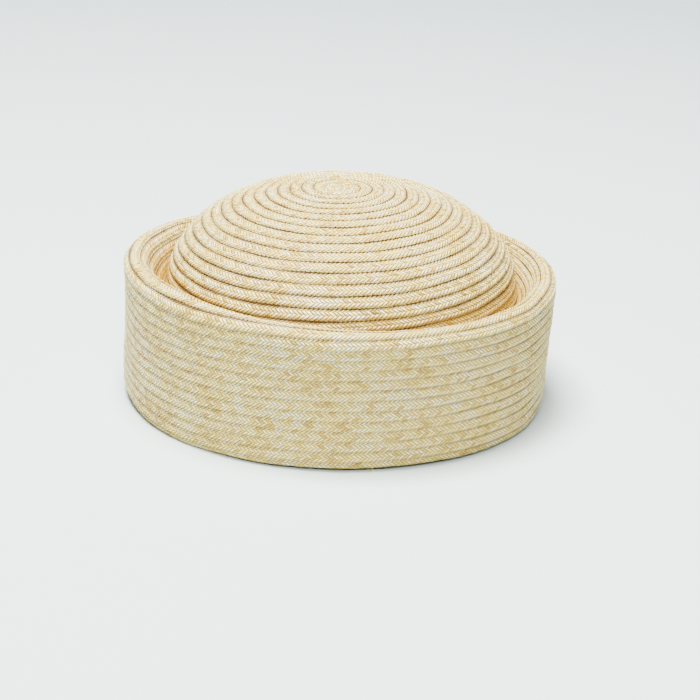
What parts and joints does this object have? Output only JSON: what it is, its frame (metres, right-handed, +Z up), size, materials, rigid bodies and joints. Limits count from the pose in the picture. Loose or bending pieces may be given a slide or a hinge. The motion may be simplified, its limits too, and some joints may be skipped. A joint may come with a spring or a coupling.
{
  "type": "straw beret",
  "caption": "Round straw hat sewn from spiral plait: a domed crown set in a gutter inside an upright cuff with a folded, gently wavy top, open below for the head.",
  "frame": {"origin": "centre of the hat, level with the cuff's lower edge that it stands on", "axes": "+Z up through the top of the crown, -Y towards the front of the hat as pictured, +X towards its right-hand side in the picture"},
  "size_m": [0.199, 0.1942, 0.0993],
  "materials": {
    "crown_straw": "sewn herringbone wheat-straw plait, pale cream gold with a soft gloss",
    "cuff_straw": "sewn herringbone wheat-straw plait, natural straw gold with a soft gloss"
  },
  "bodies": {
    "root": {"crown": "crown_straw", "cuff": "cuff_straw"}
  },
  "joints": []
}
